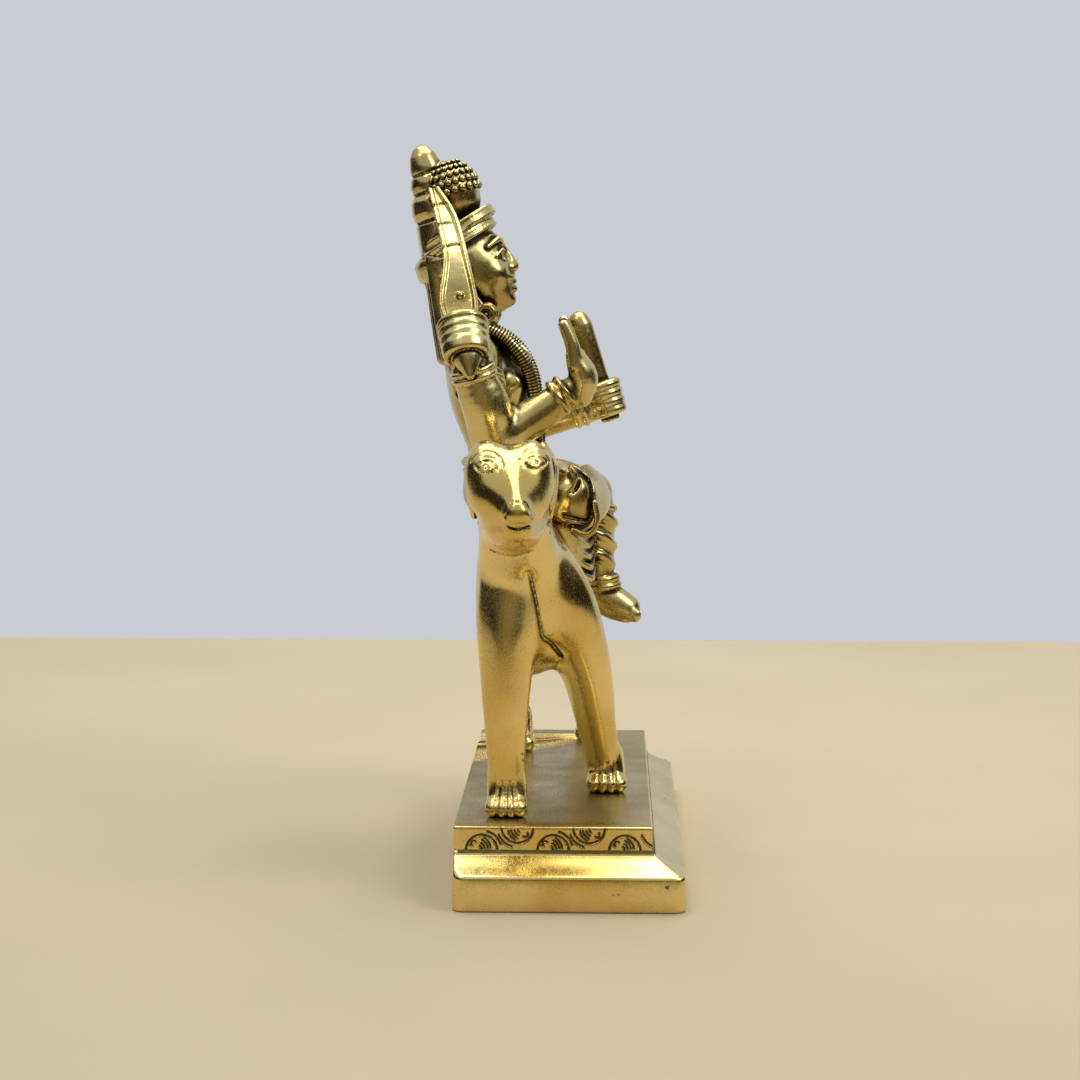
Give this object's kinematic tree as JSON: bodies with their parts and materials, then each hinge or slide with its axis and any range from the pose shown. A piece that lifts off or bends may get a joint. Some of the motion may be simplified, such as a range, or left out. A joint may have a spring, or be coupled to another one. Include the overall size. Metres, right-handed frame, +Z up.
{
  "type": "idol figurine",
  "caption": "Cast brass idol: a crowned multi-armed deity sits side-saddle on a standing dog, on a stepped oblong plinth with a scroll band.",
  "frame": {"origin": "centre of the plinth's flat underside", "axes": "+Z up, -Y the way the rider faces, -X the way the dog faces"},
  "size_m": [0.154, 0.0718, 0.1894],
  "materials": {
    "plinth_brass": "worn satin polish, dark in the engraving",
    "dog_brass": "bright polish with casting pits",
    "rider_brass": "polished high points, dark in the recesses"
  },
  "bodies": {
    "root": {"plinth": "plinth_brass", "dog": "dog_brass", "rider": "rider_brass"}
  },
  "joints": []
}
